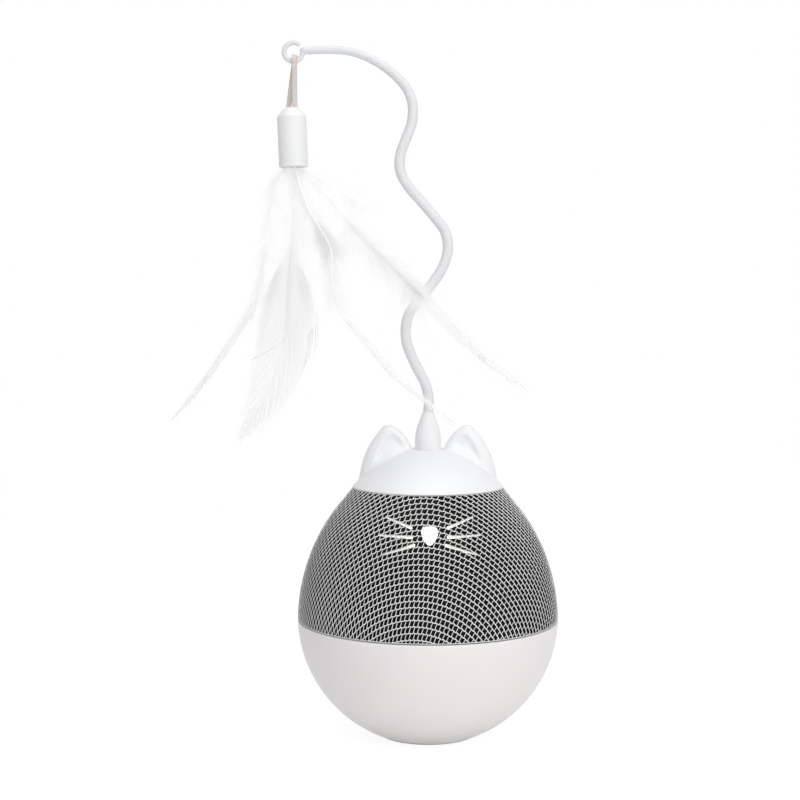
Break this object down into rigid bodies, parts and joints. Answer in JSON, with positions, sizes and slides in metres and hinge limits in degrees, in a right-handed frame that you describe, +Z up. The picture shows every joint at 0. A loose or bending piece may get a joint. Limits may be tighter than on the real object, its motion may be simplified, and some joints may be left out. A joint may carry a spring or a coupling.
{
  "type": "rotating feather cat toy",
  "caption": "Battery cat toy with an egg-shaped eared body that turns a wavy wand carrying a feather lure.",
  "frame": {"origin": "on the wand's spin axis, in the plane of the foot", "axes": "+Z up along the spin axis, -Y out of the lit face, -X towards the ring at the wand's end"},
  "size_m": [0.1656, 0.11, 0.2911],
  "materials": {
    "shell_white": "satin moulded",
    "cap_white": "satin moulded",
    "wand_white": "satin moulded",
    "ferrule_white": "satin moulded",
    "net_thread": "knitted",
    "black_plastic": "fine texture",
    "clear_guide": "frosted, lit warm white from behind",
    "grey_rubber": "matt",
    "steel": "brushed",
    "brass": "machined",
    "gear_plastic": "moulded acetal",
    "cell_sleeve": "plain printed sleeve",
    "board_green": "solder mask",
    "cord_beige": "woven",
    "feather_white": "feather vane and down",
    "lead_red": "insulation"
  },
  "bodies": {
    "base": {"base_shell": "shell_white", "ear_cap": "cap_white", "net_sleeve": "net_thread", "inner_shell": "black_plastic", "battery_holder": "black_plastic", "gearbox_frame": "black_plastic", "gearbox_cover": "black_plastic", "motor_end_cap": "black_plastic", "controller_chip": "black_plastic", "battery_lead_black": "black_plastic", "motor_lead_black": "black_plastic", "face_light_guide": "clear_guide", "face_led": "clear_guide", "foot_ring": "grey_rubber", "ballast_ring": "steel", "contact_plate_1": "steel", "contact_plate_2": "steel", "contact_plate_3": "steel", "gearbox_screw_1": "steel", "gearbox_screw_2": "steel", "gearbox_screw_3": "steel", "motor_can": "steel", "first_axle": "steel", "second_axle": "steel", "switch_body": "steel", "output_bush": "brass", "battery_cell_1": "cell_sleeve", "battery_cell_2": "cell_sleeve", "battery_cell_3": "cell_sleeve", "control_board": "board_green", "battery_lead_red": "lead_red", "switch_lead_red": "lead_red", "motor_lead_red": "lead_red"},
    "spindle": {"output_gear": "gear_plastic", "output_shaft": "steel", "shaft_clip": "steel"},
    "wand": {"wand_boot": "wand_white", "wand_rod": "wand_white"},
    "loop": {"cord_loop": "cord_beige"},
    "lure": {"lure_ferrule": "ferrule_white", "long_left_feather": "feather_white", "upper_down_plume": "feather_white", "broad_feather": "feather_white", "long_right_feather": "feather_white", "trailing_feather": "feather_white", "left_down_plume": "feather_white"},
    "motor_rotor": {"motor_shaft": "steel", "motor_pinion": "gear_plastic"},
    "second_stage": {"second_gear": "gear_plastic"},
    "first_stage": {"first_gear": "gear_plastic"},
    "switch": {"switch_knob": "black_plastic"},
    "door": {"battery_door": "shell_white", "door_pad": "grey_rubber", "door_screw": "steel", "contact_spring_1": "steel", "contact_spring_2": "steel", "contact_spring_3": "steel"}
  },
  "joints": [
    {"name": "wand_spin", "type": "hinge", "parent": "base", "child": "spindle", "pos_m": [0, 0, 0.1], "axis": [0, 0, 1], "continuous": true},
    {"name": "wand_pull", "type": "slide", "parent": "spindle", "child": "wand", "axis": [0, 0, 1], "range_m": [0, 0.012]},
    {"name": "loop_swing", "type": "hinge", "parent": "wand", "child": "loop", "pos_m": [-0.056, 0, 0.28225], "axis": [1, 0, 0], "range_deg": [-60, 6]},
    {"name": "lure_swing", "type": "hinge", "parent": "loop", "child": "lure", "pos_m": [-0.0569, 0, 0.2601], "axis": [0, 1, 0], "range_deg": [-15, 25]},
    {"name": "second_gear_spin", "type": "hinge", "parent": "base", "child": "second_stage", "pos_m": [0.00831, 0.01026, 0.087], "axis": [0, 0, 1], "continuous": true},
    {"name": "first_gear_spin", "type": "hinge", "parent": "base", "child": "first_stage", "pos_m": [-0.00009, 0.01706, 0.087], "axis": [0, 0, 1], "continuous": true},
    {"name": "motor_spin", "type": "hinge", "parent": "base", "child": "motor_rotor", "pos_m": [-0.00688, 0.00866, 0.075], "axis": [0, 0, 1], "continuous": true},
    {"name": "switch_slide", "type": "slide", "parent": "base", "child": "switch", "axis": [1, 0, 0], "range_m": [-0.004, 0]},
    {"name": "door_slide", "type": "slide", "parent": "base", "child": "door", "axis": [0, 0, -1], "range_m": [0, 0.035]}
  ],
  "couplings": [
    {"joint": "second_gear_spin", "follows": "wand_spin", "ratio": -4.5},
    {"joint": "first_gear_spin", "follows": "wand_spin", "ratio": 15.75},
    {"joint": "motor_spin", "follows": "wand_spin", "ratio": -55.125}
  ]
}
